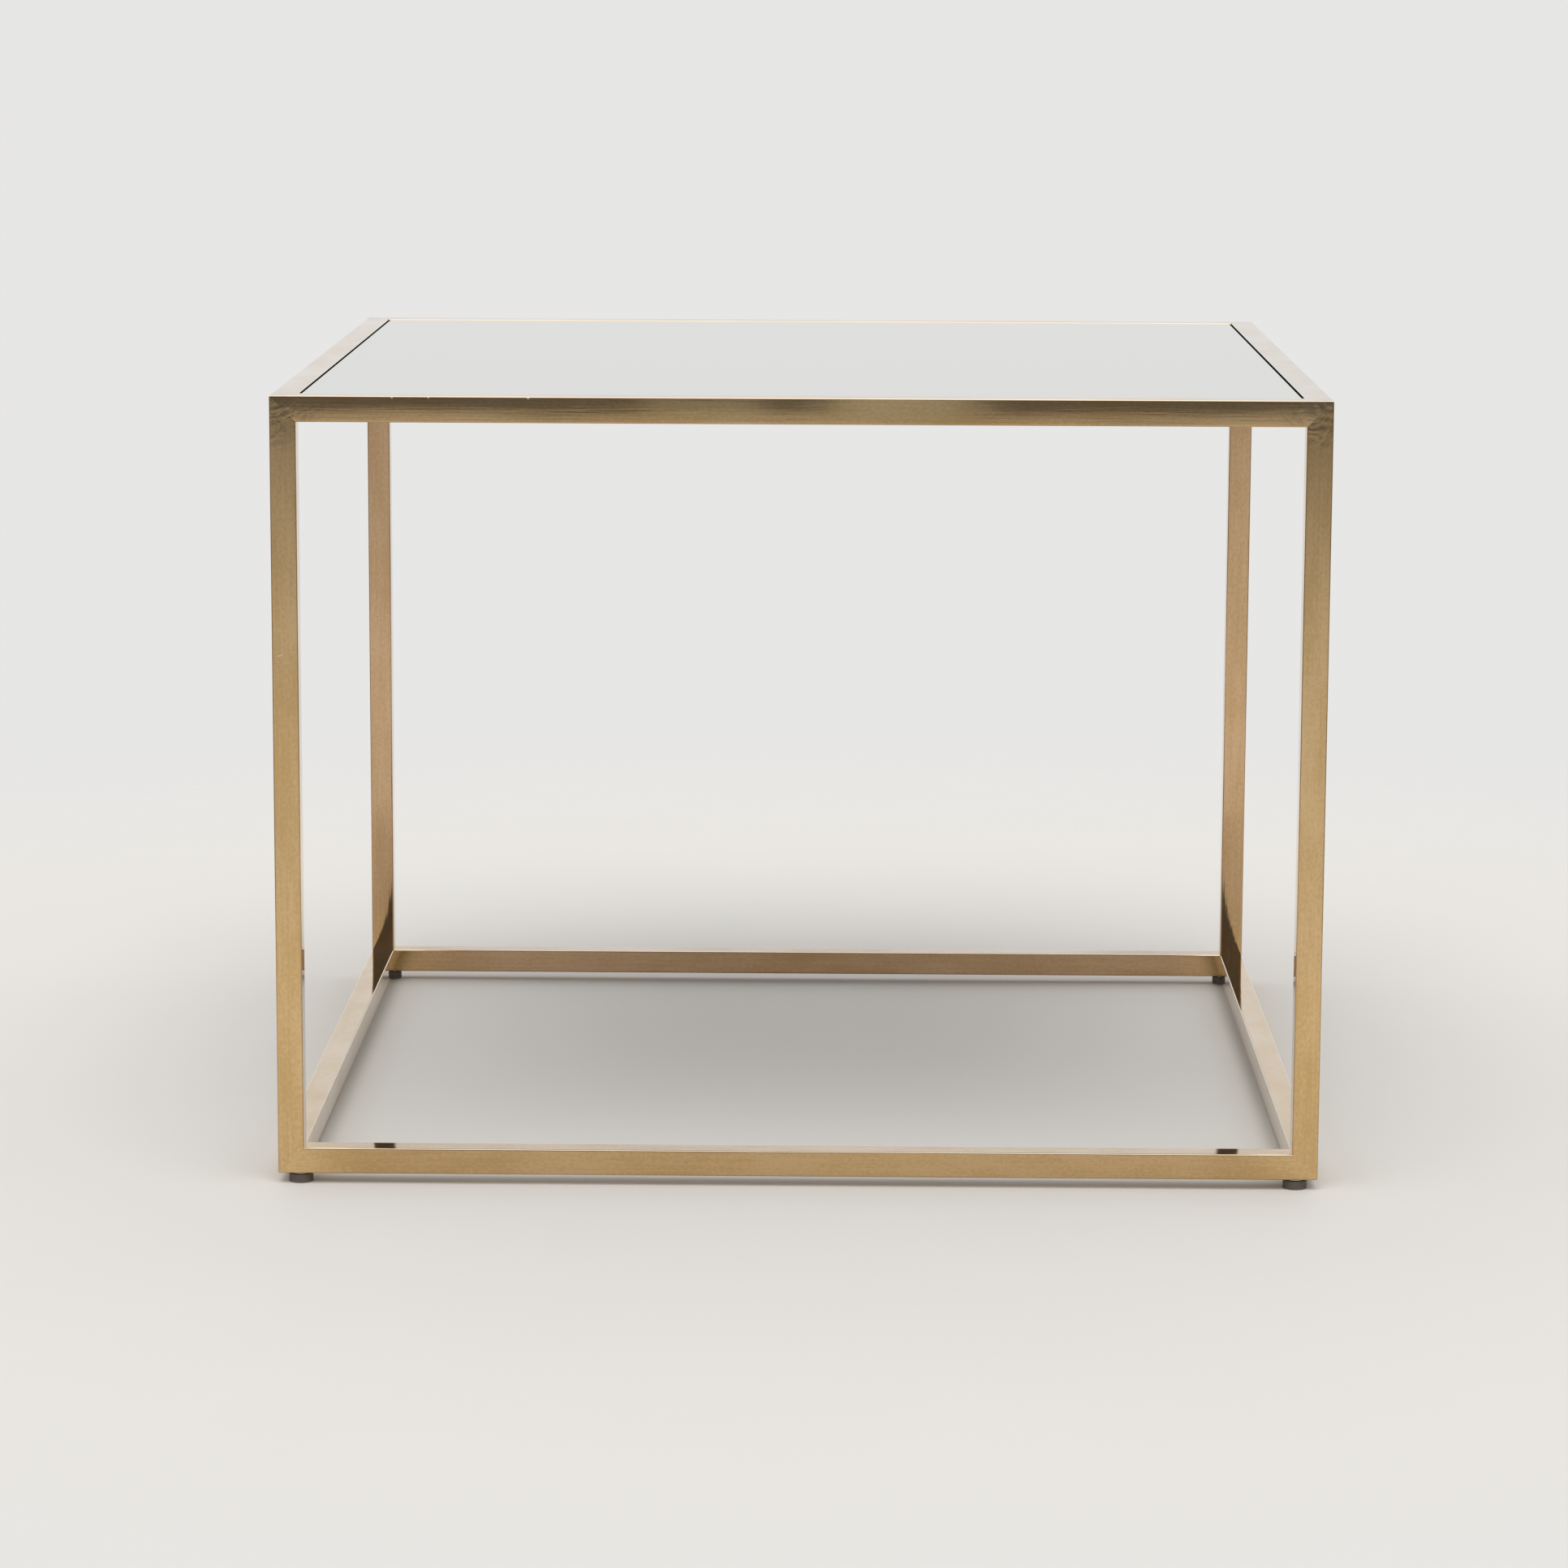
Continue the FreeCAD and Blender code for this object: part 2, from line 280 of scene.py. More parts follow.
def math_node(tree, operation, first, second=0.0, third=0.0, clamp=False):
    """The output of one Math node."""
    inputs = {0: first, 1: second, 2: third}
    return add_node(tree, "ShaderNodeMath", inputs, operation=operation, use_clamp=clamp).outputs[0]


def vector_node(tree, operation, first, second=(0.0, 0.0, 0.0), output="Vector"):
    """One output of one Vector Math node."""
    made = add_node(tree, "ShaderNodeVectorMath", {0: first, 1: second}, operation=operation)
    return made.outputs[output]


def ramp_node(tree, factor, stops):
    """The colour output of a Color Ramp with (position, colour) stops; a grey may be one number."""
    made = add_node(tree, "ShaderNodeValToRGB", {"Fac": factor})
    elements = made.color_ramp.elements
    while len(elements) < len(stops):
        elements.new(0.5)
    for element, (position, colour) in zip(elements, stops):
        element.position = position
        grey = isinstance(colour, (int, float))
        element.color = (colour, colour, colour, 1.0) if grey else (*colour, 1.0)
    return made.outputs["Color"]


def mix_colours(tree, factor, first, second):
    """The colour between two colours, each a value or an output."""
    made = tree.nodes.new("ShaderNodeMix")
    made.data_type = "RGBA"
    for socket, value in ((0, factor), (6, first), (7, second)):
        if isinstance(value, bpy.types.NodeSocket):
            tree.links.new(value, made.inputs[socket])
        elif socket:
            made.inputs[socket].default_value = (*value, 1.0)
        else:
            made.inputs[socket].default_value = value
    return made.outputs[2]


def mix_shaders(tree, factor, first, second):
    """The shader between two shaders."""
    inputs = {0: factor, 1: first, 2: second}
    return add_node(tree, "ShaderNodeMixShader", inputs).outputs[0]


def noise_node(tree, place, scale, detail=2.0, roughness=0.5, distortion=0.0):
    """The value of a noise, from 0 to 1 about 0.5."""
    inputs = {
        "Vector": place, "Scale": scale, "Detail": detail, "Roughness": roughness,
        "Distortion": distortion,
    }
    return add_node(tree, "ShaderNodeTexNoise", inputs).outputs["Fac"]


def scaled(colour, share):
    """A colour made lighter or darker."""
    return tuple(channel * share for channel in colour)


def smooth_step(tree, value, low, high):
    """0 below low and 1 above high, with a soft turn; high may be the smaller."""
    inputs = {"Value": value, "From Min": low, "From Max": high, "To Min": 0.0, "To Max": 1.0}
    made = add_node(tree, "ShaderNodeMapRange", inputs, interpolation_type="SMOOTHSTEP")
    return made.outputs["Result"]


def start_material(name, **surface):
    """A new material, its tree and its Principled shader with constants set on its sockets."""
    material = bpy.data.materials.new(name)
    material.use_nodes = True
    tree = material.node_tree
    shader = tree.nodes["Principled BSDF"]
    for socket, value in surface.items():
        value = (*value, 1.0) if isinstance(value, tuple) and len(value) == 3 else value
        shader.inputs[socket.replace("_", " ")].default_value = value
    return material, tree, shader


def object_place(tree):
    """Object coordinates, in metres."""
    return add_node(tree, "ShaderNodeTexCoord").outputs["Object"]


def stretched_place(tree, place, centre, scale):
    """A place measured from a centre, with each axis scaled."""
    moved = vector_node(tree, "SUBTRACT", place, tuple(centre))
    return vector_node(tree, "MULTIPLY", moved, scale)


def height_of(tree, place):
    """The height above the floor of a place."""
    return add_node(tree, "ShaderNodeSeparateXYZ", {"Vector": place}).outputs["Z"]


def shifted_place(tree, place, seed, steps):
    """A place moved by a number of steps, so that no two pieces have the same pattern."""
    return vector_node(tree, "ADD", place, tuple(seed * step for step in steps))


def stretched_noise(tree, place, scales, **settings):
    """A noise with its own scale along each axis."""
    return noise_node(tree, stretched_place(tree, place, (0, 0, 0), scales), 1.0, **settings)


def bump_from(tree, height):
    """A normal bent by a height in millimetres."""
    inputs = {"Height": height, "Distance": 1 / MILLIMETRES, "Strength": 1.0}
    return add_node(tree, "ShaderNodeBump", inputs).outputs["Normal"]


def set_surface(tree, shader, **outputs):
    """Links outputs to the shader's sockets of the same names."""
    for socket, output in outputs.items():
        tree.links.new(output, shader.inputs[socket.replace("_", " ")])


# ---------------------------------------------------------------- finishes

def tube_axis(box):
    """The number of the axis along which a tube or bar lies."""
    extent = box[1] - box[0]
    return max(range(3), key=lambda axis: extent[axis])


def along_and_across(axis, along, across):
    """Scales for the three axes: one along a bar, another across it."""
    return tuple(along if i == axis else across for i in range(3))


def corner_smear(tree, place):
    """Strongest where the polisher's wheel has swirled round the welds at the top corners."""
    corner = (CAD_BOX[1][0], CAD_BOX[1][1], TOP_OF_TUBES)
    folded = vector_node(tree, "ABSOLUTE", place)
    to_corner = vector_node(tree, "DISTANCE", folded, corner, output="Value")
    near = smooth_step(tree, to_corner, SMEAR_REACH, SMEAR_REACH * 0.3)
    cloud = noise_node(tree, place, 70.0, detail=3.0, roughness=0.55, distortion=1.2)
    drift = noise_node(tree, place, 45.0, detail=1.0, distortion=0.8)
    turned = math_node(tree, "MULTIPLY", to_corner, SWIRL_TURNS)
    swept = math_node(tree, "MULTIPLY_ADD", drift, SWIRL_DRIFT, turned)
    rings = math_node(tree, "MULTIPLY_ADD", math_node(tree, "SINE", swept), 0.3, 0.7)
    patches = math_node(tree, "MULTIPLY", smooth_step(tree, cloud, 0.34, 0.60), rings)
    return math_node(tree, "MULTIPLY", near, patches, clamp=True)


def long_edges(tree, across, axis):
    """1 along the four long edges of a tube, from its place across in half-widths."""
    folded = vector_node(tree, "ABSOLUTE", across)
    parts = add_node(tree, "ShaderNodeSeparateXYZ", {"Vector": folded})
    first, second = [parts.outputs[i] for i in range(3) if i != axis]
    return smooth_step(tree, math_node(tree, "MINIMUM", first, second), 0.86, 0.98)


def scratched(tree, place, marks):
    """1 on each scratch, given by its centre, half its length and width, and its slope."""
    strongest = 0.0
    for centre, half_length, half_width, slope in marks:
        inputs = {
            "Vector": place, "Location": centre, "Rotation": (0.0, -slope, 0.0),
            "Scale": (half_length, half_width, half_width),
        }
        own = add_node(tree, "ShaderNodeMapping", inputs, vector_type="TEXTURE")
        off = vector_node(tree, "LENGTH", own.outputs["Vector"], output="Value")
        strongest = math_node(tree, "MAXIMUM", smooth_step(tree, off, 1.0, 0.5), strongest)
    return strongest


def polished_brass(name, box, brass, seed, lean, shade_kept, calm):
    """Mirror-polished brass with long waves, fine lines along the tube and buffed corners, with a
    painted highlight along its upper edges and painted shade along its other long edges.

    Its upright faces look down by the lean, an angle. Between its welds it keeps a share of each
    colour, as painted shade for darker reflections, and calm is the share of the waves' height and
    of the clouds' depth that it has.
    """
    material, tree, shader = start_material(name, Metallic=1.0, Coat_Roughness=0.03, Coat_IOR=1.5)
    axis = tube_axis(box)
    centre = (box[0] + box[1]) / 2
    half = min(box[1] - box[0]) / 2
    place = object_place(tree)
    across = stretched_place(tree, place, centre, along_and_across(axis, 0.0, 1.0 / half))
    own = shifted_place(tree, place, seed, (1.7, 2.3, 3.1))
    height = height_of(tree, place)

    def grain(along, around, **settings):
        return stretched_noise(tree, own, along_and_across(axis, along, around), **settings)

    smear = corner_smear(tree, place)
    cloud = grain(14.0, 38.0, detail=4.0, roughness=0.6)
    lines = grain(16.0, 620.0, detail=3.0, roughness=0.6)
    mottle = grain(380.0, 600.0, detail=3.0, roughness=0.65)
    fine = math_node(tree, "MULTIPLY_ADD", lines, 0.25, math_node(tree, "MULTIPLY", mottle, 0.4))
    tint = math_node(tree, "MULTIPLY_ADD", cloud, 0.35, fine)
    bright, deep = Vector(brass.gold), Vector(brass.deep_gold)
    average = (bright + deep) / 2
    shades = [tuple(average.lerp(shade, calm)) for shade in (deep, bright)]
    clean = mix_colours(tree, smooth_step(tree, tint, 0.40, 0.60), *shades)
    # painted shade: between its welds the tube's colour is darkened by its share, standing in for
    # darker reflections
    reach = (box[1] - box[0])[axis] / 2
    from_middle = stretched_place(tree, place, centre, along_and_across(axis, 1.0, 0.0))
    off_middle = vector_node(tree, "LENGTH", from_middle, output="Value")
    painted_shade_mask = smooth_step(tree, off_middle, reach - PAINTED_SHADE_STARTS, reach - PAINTED_SHADE_FULL)
    metal = vector_node(tree, "MULTIPLY", clean, mix_colours(tree, painted_shade_mask, UNSHADED, shade_kept))

    edges = long_edges(tree, across, axis)
    top = box[1].z
    upper = smooth_step(tree, height, top - HIGHLIGHT_EDGE_STARTS, top - HIGHLIGHT_EDGE_FULL)
    # painted shade along the long edges, at half strength, except along the upper ones
    rim = math_node(tree, "MULTIPLY", edges, math_node(tree, "MULTIPLY_ADD", upper, -0.5, 0.5))
    # painted highlight: a pale line in the scratch colour along each tube's upper long edges
    edge_highlight = math_node(tree, "MULTIPLY", math_node(tree, "MULTIPLY", edges, upper), 0.85)
    nicked = scratched(tree, place, SCRATCHES.get(name.removeprefix("brass_"), ()))
    colour = metal
    for share, layer in (
        (rim, brass.rim), (math_node(tree, "MULTIPLY", smear, 0.75), brass.smear),
        (edge_highlight, brass.scratch_and_highlight), (nicked, brass.scratch_and_highlight),
    ):
        colour = mix_colours(tree, share, colour, tuple(layer))

    lacquer = math_node(tree, "MULTIPLY", smooth_step(tree, cloud, 0.2, 0.8), brass.lacquer * 1.2)
    streaks = math_node(tree, "MULTIPLY_ADD", lines, 0.06, brass.roughness - 0.03)
    dulled = math_node(tree, "MULTIPLY_ADD", smear, 0.10, streaks, clamp=True)

    fall = vector_node(tree, "DOT_PRODUCT", across, across, output="Value")
    relief = math_node(tree, "MULTIPLY", fall, -brass.pillow * MILLIMETRES)
    for shape, depth in (
        (grain(7.0, 22.0, detail=1.0), brass.wave * calm * MILLIMETRES), (smear, 0.02),
        (lines, brass.grain * MILLIMETRES), (height, lean * MILLIMETRES),
    ):
        relief = math_node(tree, "MULTIPLY_ADD", shape, depth, relief)
    set_surface(
        tree, shader, Base_Color=colour, Normal=bump_from(tree, relief),
        Coat_Weight=math_node(tree, "ADD", lacquer, brass.lacquer * 0.3),
        Roughness=math_node(tree, "MULTIPLY_ADD", nicked, 0.35, dulled, clamp=True))
    return material


def brushed_ledge(name, box, brass, seed):
    """Plainly ground flat bar, duller than the tubes."""
    material, tree, shader = start_material(name, Metallic=1.0)
    own = shifted_place(tree, object_place(tree), seed, (1.3, 0.7, 2.9))
    scales = along_and_across(tube_axis(box), 9.0, 900.0)
    lines = stretched_noise(tree, own, scales, detail=4.0, roughness=0.7)
    cloud = noise_node(tree, own, 30.0, detail=3.0)
    set_surface(
        tree, shader,
        Base_Color=mix_colours(tree, cloud, tuple(brass.smear), tuple(brass.deep_gold)),
        Roughness=math_node(tree, "MULTIPLY_ADD", lines, 0.25, 0.22),
        Normal=bump_from(tree, math_node(tree, "MULTIPLY", lines, 0.05)))
    return material


def mirror_plate(mirror, box):
    """Float glass: silver shows through its polished top, and its edges are deep green."""
    material, tree, shader = start_material("mirror_plate", IOR=1.52)
    place = object_place(tree)
    just_below_top = box[1].z - 0.0001
    top = math_node(tree, "GREATER_THAN", height_of(tree, place), just_below_top)
    wiped = stretched_noise(
        tree, place, (9.0, 26.0, 9.0), detail=5.0, roughness=0.6, distortion=0.8)
    cast = noise_node(tree, place, 3.0, detail=2.0)
    dust = smooth_step(tree, noise_node(tree, place, 650.0, detail=3.0, roughness=0.7), 0.35, 0.75)
    silver = tuple(mirror.silver)
    hazed = mix_colours(tree, dust, scaled(silver, 0.98), scaled(silver, 1.03))
    cast_share = math_node(tree, "MULTIPLY", cast, 0.4)
    silvered = mix_colours(tree, cast_share, hazed, scaled(silver, 0.96))
    set_surface(
        tree, shader, Metallic=top,
        Base_Color=mix_colours(tree, top, tuple(mirror.glass), silvered),
        Roughness=math_node(tree, "MULTIPLY", smooth_step(tree, wiped, 0.45, 0.8), 0.03))
    return material


def silvered_back(mirror, box):
    """Silver on the side that faces the glass, grey paint on the other."""
    material, tree, shader = start_material("silvered_back")
    place = object_place(tree)
    middle = (box[0].z + box[1].z) / 2
    upper = math_node(tree, "GREATER_THAN", height_of(tree, place), middle)
    brushed = noise_node(tree, place, 60.0, detail=4.0)
    paint = mix_colours(tree, brushed, scaled(mirror.paint, 0.8), tuple(mirror.paint))
    set_surface(
        tree, shader, Metallic=upper,
        Base_Color=mix_colours(tree, upper, paint, tuple(mirror.silver)),
        Roughness=math_node(tree, "MULTIPLY_ADD", upper, -0.55, 0.55, clamp=True))
    return material


def clear_silicone():
    """Milky soft plastic."""
    material, tree, shader = start_material(
        "clear_silicone", Roughness=0.35, Transmission_Weight=0.45, IOR=1.41)
    cloud = noise_node(tree, object_place(tree), 240.0, detail=2.0)
    milky = mix_colours(tree, cloud, (0.78, 0.79, 0.77), (0.88, 0.89, 0.88))
    set_surface(tree, shader, Base_Color=milky)
    return material


def glide_plastic(feet):
    """Dark grey moulded plastic with a fine grain and a little floor dust low down."""
    material, tree, shader = start_material("glide_plastic", Specular_IOR_Level=0.16)
    place = object_place(tree)
    grain = noise_node(tree, place, 1500.0, detail=3.0, roughness=0.6)
    low = smooth_step(tree, height_of(tree, place), 0.0016, 0.0)
    dust = math_node(tree, "MULTIPLY", low, noise_node(tree, place, 300.0, detail=3.0), clamp=True)
    grey = tuple(feet.plastic)
    worn = mix_colours(tree, grain, scaled(grey, 0.8), scaled(grey, 1.25))
    dusty = mix_colours(tree, math_node(tree, "MULTIPLY", dust, 0.5), worn, tuple(feet.dust))
    set_surface(
        tree, shader, Base_Color=dusty,
        Roughness=math_node(tree, "MULTIPLY_ADD", grain, 0.25, 0.38),
        Normal=bump_from(tree, math_node(tree, "MULTIPLY", grain, 0.04)))
    return material


def zinc_plate(feet):
    """Zinc-plated steel with turned lines."""
    material, tree, shader = start_material("zinc_plate", Metallic=1.0)
    place = object_place(tree)
    turned = stretched_noise(tree, place, (80.0, 80.0, 5000.0), detail=2.0)
    cloud = noise_node(tree, place, 260.0, detail=3.0)
    zinc = tuple(feet.steel)
    set_surface(
        tree, shader, Base_Color=mix_colours(tree, cloud, scaled(zinc, 0.8), zinc),
        Roughness=math_node(tree, "MULTIPLY_ADD", turned, 0.2, 0.22))
    return material


# ---------------------------------------------------------------- mesh helpers

def dress(name, material):
    """Gives a CAD node its finish."""
    mesh = NODES[name].data
    mesh.materials.clear()
    mesh.materials.append(material)


def finish_piece(name, mesh_work, material, body, replaced=()):
    """Turns a bmesh into a finished piece that rides on a CAD body."""
    bmesh.ops.recalc_face_normals(mesh_work, faces=mesh_work.faces[:])
    mesh = bpy.data.meshes.new(name)
    mesh_work.to_mesh(mesh)
    mesh_work.free()
    mesh.materials.append(material)
    piece = bpy.data.objects.new(name, mesh)
    bpy.context.scene.collection.objects.link(piece)
    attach(piece, body)
    if replaced:
        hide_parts(*replaced)
    return piece


def shade_smooth(piece, angle_deg=35):
    """Smooth shading with sharp edges where faces turn by more than an angle."""
    work = bmesh.new()
    work.from_mesh(piece.data)
    for face in work.faces:
        face.smooth = True
    for edge in work.edges:
        if len(edge.link_faces) == 2:
            edge.smooth = edge.calc_face_angle(0.0) < math.radians(angle_deg)
    work.to_mesh(piece.data)
    work.free()


def turn_profile(work, points, centre, steps=48):
    """Adds a closed solid of revolution about a vertical axis through centre."""
    start = [work.verts.new((centre[0] + r, centre[1], centre[2] + z)) for r, z in points]
    edges = [work.edges.new(pair) for pair in zip(start, start[1:])]
    bmesh.ops.spin(
        work, geom=start + edges, cent=centre, axis=(0, 0, 1), angle=math.tau, steps=steps,
        use_merge=True)
    bmesh.ops.remove_doubles(work, verts=work.verts[:], dist=SAME_PLACE)


def close_at_axis(work, rim, centre):
    """Closes an open rim with a fan to a point on the axis."""
    grown = bmesh.ops.extrude_edge_only(work, edges=rim)["geom"]
    new_verts = [item for item in grown if isinstance(item, bmesh.types.BMVert)]
    level = sum(vert.co.z for vert in new_verts) / len(new_verts)
    bmesh.ops.pointmerge(work, verts=new_verts, merge_co=(centre[0], centre[1], level))


def add_thread(work, centre, crest, depth, low, high, pitch, steps_per_turn=36):
    """Adds a closed threaded rod: a V-shaped tooth swept up a helix."""
    root = crest - depth
    turns = round((high - low) / pitch) - 1
    profile = [(root, 0.0), (crest, 0.42 * pitch), (crest, 0.58 * pitch), (root, pitch)]
    start = [work.verts.new((centre[0] + r, centre[1], low + z)) for r, z in profile]
    edges = [work.edges.new(pair) for pair in zip(start, start[1:])]
    bmesh.ops.spin(
        work, geom=start + edges, cent=(centre[0], centre[1], low), axis=(0, 0, 1),
        dvec=(0, 0, pitch / steps_per_turn), angle=math.tau * turns, steps=steps_per_turn * turns)
    bmesh.ops.remove_doubles(work, verts=work.verts[:], dist=pitch * 0.01)
    middle = (low + high) / 2
    open_edges = [edge for edge in work.edges if edge.is_boundary]
    below = [edge for edge in open_edges if edge.verts[0].co.z < middle]
    above = [edge for edge in open_edges if edge.verts[0].co.z >= middle]
    close_at_axis(work, below, centre)
    close_at_axis(work, above, centre)


def add_socket(work, centre):
    """Closes a head's open rim with a face that has a hexagonal socket in it."""
    rim = [edge for edge in work.edges if edge.is_boundary]
    reach = SOCKET_FLATS / math.sqrt(3)
    corners = [
        (math.cos(math.radians(a)) * reach, math.sin(math.radians(a)) * reach)
        for a in range(0, 360, 60)
    ]
    mouth, floor = [
        [work.verts.new((centre[0] + x, centre[1] + y, centre[2] + z)) for x, y in corners]
        for z in (0.0, SOCKET_DEPTH)
    ]
    for k in range(6):
        work.faces.new((mouth[k], mouth[k - 1], floor[k - 1], floor[k]))
    work.faces.new(floor)
    lip = [edge for vert in mouth for edge in vert.link_edges if edge.is_boundary]
    bmesh.ops.triangle_fill(work, edges=rim + list(set(lip)), use_beauty=True)


def tack_weld(work, start, direction):
    """Adds a short weld: a row of overlapping scallops in the corner under a ledge."""
    squash = Vector((1, 1, 1)) - Vector([abs(c) for c in direction]) * 0.25
    for step in range(WELD_SCALLOPS):
        along = (step / (WELD_SCALLOPS - 1) - 0.5) * (WELD_LENGTH - 2 * WELD_RADIUS)
        made = bmesh.ops.create_uvsphere(
            work, u_segments=14, v_segments=8, radius=WELD_RADIUS)["verts"]
        bmesh.ops.scale(work, vec=squash, verts=made)
        bmesh.ops.translate(work, vec=start + direction * along, verts=made)


def button_places():
    """The centre of each button's underside with its radius and height, read from the CAD node."""
    low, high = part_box("ledge_bumpers")
    mesh = NODES["ledge_bumpers"].data
    work = bmesh.new()
    work.from_mesh(mesh)
    bmesh.ops.remove_doubles(work, verts=work.verts[:], dist=SAME_PLACE)
    places = []
    left = set(work.verts)
    while left:
        island, queue = set(), [left.pop()]
        while queue:
            vert = queue.pop()
            island.add(vert)
            near = {edge.other_vert(vert) for edge in vert.link_edges} & left
            left -= near
            queue.extend(near)
        xs, ys = [v.co.x for v in island], [v.co.y for v in island]
        centre = ((min(xs) + max(xs)) / 2, (min(ys) + max(ys)) / 2, low.z)
        places.append((centre, (max(xs) - min(xs)) / 2, high.z - low.z))
    work.free()
    return sorted(places)


# ---------------------------------------------------------------- floor, light and camera

def lay_floor(stage):
    """A pale round floor whose rim fades into the room."""
    work = bmesh.new()
    bmesh.ops.create_circle(work, cap_ends=True, segments=128, radius=stage.floor_radius)
    mesh = bpy.data.meshes.new("floor")
    work.to_mesh(mesh)
    work.free()
    floor = bpy.data.objects.new("floor", mesh)
    bpy.context.scene.collection.objects.link(floor)
    material, tree, shader = start_material("pale_floor", Roughness=0.85)
    place = object_place(tree)
    cloud = noise_node(tree, place, 5.0, detail=6.0, roughness=0.62)
    colour = tuple(stage.floor)
    clouded = mix_colours(tree, cloud, scaled(colour, 0.985), scaled(colour, 1.015))
    set_surface(tree, shader, Base_Color=clouded)
    distance = vector_node(tree, "LENGTH", place, output="Value")
    gone = smooth_step(tree, distance, stage.floor_solid, stage.floor_radius)
    clear = add_node(tree, "ShaderNodeBsdfTransparent")
    mixed = mix_shaders(tree, gone, shader.outputs[0], clear.outputs[0])
    tree.links.new(mixed, tree.nodes["Material Output"].inputs["Surface"])
    mesh.materials.append(material)


# what polished metal sees of the room, by the sine of the angle above level
FAR_END = [
    (-0.30, (0.73, 0.725, 0.715)), (-0.18, (0.75, 0.745, 0.735)), (-0.154, (0.71, 0.705, 0.695)),
    (-0.138, (0.635, 0.63, 0.63)), (-0.122, (0.535, 0.535, 0.545)), (-0.106, (0.43, 0.43, 0.445)),
    (-0.096, (0.34, 0.34, 0.355)), (-0.088, (0.215, 0.21, 0.225)), (-0.0855, (0.07, 0.068, 0.075)),
    (-0.083, (0.165, 0.165, 0.175)), (-0.07, (0.135, 0.138, 0.157)), (0.05, (0.12, 0.125, 0.15)),
    (0.08, (0.30, 0.305, 0.32)), (0.12, (0.76, 0.76, 0.76)),
    (0.50, (0.85, 0.85, 0.85)), (0.80, (1.3, 1.29, 1.27)),
]
WALL = [
    (-0.30, (0.75, 0.745, 0.735)), (0.0, (0.80, 0.795, 0.79)), (0.12, (0.80, 0.797, 0.793)),
    (0.50, (0.86, 0.86, 0.86)), (0.80, (1.3, 1.29, 1.27)),
]
CARD = (0.46, 0.49, 0.515)
SIDES = (0.16, 0.15, 0.135)
# the levels that the bands run between, and the brightest that a band may be
LEVELS = (-0.30, 1.0)
BRIGHTEST = 1.5


def room_ramp(tree, level, bands):
    """The room's colour at a level, from (level, colour) bands."""
    low, high = LEVELS
    share = math_node(tree, "MULTIPLY_ADD", level, 1 / (high - low), -low / (high - low))
    stops = [
        ((z - low) / (high - low), scaled(colour, 1 / BRIGHTEST)) for z, colour in bands
    ]
    return ramp_node(tree, share, stops)


def background(tree, colour, strength):
    """The output of one Background node."""
    inputs = {"Color": colour, "Strength": strength}
    return add_node(tree, "ShaderNodeBackground", inputs).outputs[0]


def between(tree, value, low, high, soft):
    """1 between low and high, with soft ends."""
    rise = smooth_step(tree, value, low - soft, low + soft)
    fall = smooth_step(tree, value, high + soft, high - soft)
    return math_node(tree, "MULTIPLY", rise, fall)


def room_in_metal(tree, x, y, z):
    """What polished metal sees along a direction: pale walls, and in front the dim far end."""
    toward_front = smooth_step(tree, y, 0.30, -0.10)
    straight_ahead = smooth_step(tree, y, -0.82, -0.95)
    above = math_node(tree, "MAXIMUM", z, 0.0)
    lowered = math_node(tree, "MULTIPLY", math_node(tree, "MULTIPLY", above, straight_ahead), -0.78)
    far_end = room_ramp(tree, math_node(tree, "ADD", z, lowered), FAR_END)

    depth = math_node(tree, "MAXIMUM", math_node(tree, "ABSOLUTE", y), 0.01)
    across = math_node(tree, "DIVIDE", x, depth)
    card_height = between(tree, z, -0.104, -0.06, 0.003)
    dim_card = math_node(tree, "MULTIPLY", between(tree, across, -0.0408, -0.0174, 0.002), 0.6)
    cards = math_node(tree, "ADD", dim_card, between(tree, across, -0.0019, 0.0226, 0.0015))
    upright = math_node(tree, "MULTIPLY", cards, card_height)
    carded = math_node(tree, "MULTIPLY", upright, straight_ahead)
    card_share = math_node(tree, "MULTIPLY", carded, 0.9)
    lifted = mix_colours(tree, card_share, far_end, scaled(CARD, 1 / BRIGHTEST))

    aside = smooth_step(tree, math_node(tree, "ABSOLUTE", x), 0.40, 0.85)
    low_aside = math_node(tree, "MULTIPLY", aside, smooth_step(tree, z, 0.20, 0.05))
    dim_side = math_node(tree, "MULTIPLY", low_aside, 0.7)
    dimmed = mix_colours(tree, dim_side, lifted, scaled(SIDES, 1 / BRIGHTEST))
    return mix_colours(tree, toward_front, room_ramp(tree, z, WALL), dimmed)


def light_room(stage):
    """A pale room. Polished metal also sees the room's dim far end and its bright ceiling."""
    world = bpy.data.worlds.new("studio")
    bpy.context.scene.world = world
    world.use_nodes = True
    tree = world.node_tree
    tree.nodes.clear()
    heading = add_node(tree, "ShaderNodeTexCoord").outputs["Generated"]
    parts = add_node(tree, "ShaderNodeSeparateXYZ", {"Vector": heading})
    x, y, z = parts.outputs["X"], parts.outputs["Y"], parts.outputs["Z"]
    seen_in_metal = room_in_metal(tree, x, y, z)

    rays = add_node(tree, "ShaderNodeLightPath").outputs
    straight = math_node(tree, "MAXIMUM", rays["Is Camera Ray"], rays["Is Transmission Ray"])
    wall_light = math_node(tree, "MULTIPLY_ADD", y, 0.2, 0.70)
    pale = background(tree, (*stage.surround, 1.0), 1.0)
    room = background(tree, seen_in_metal, BRIGHTEST)
    light = background(tree, (1.0, 0.995, 0.985, 1.0), wall_light)
    lit = mix_shaders(tree, rays["Is Glossy Ray"], light, room)
    final = mix_shaders(tree, straight, lit, pale)
    out = tree.nodes.new("ShaderNodeOutputWorld")
    tree.links.new(final, out.inputs["Surface"])


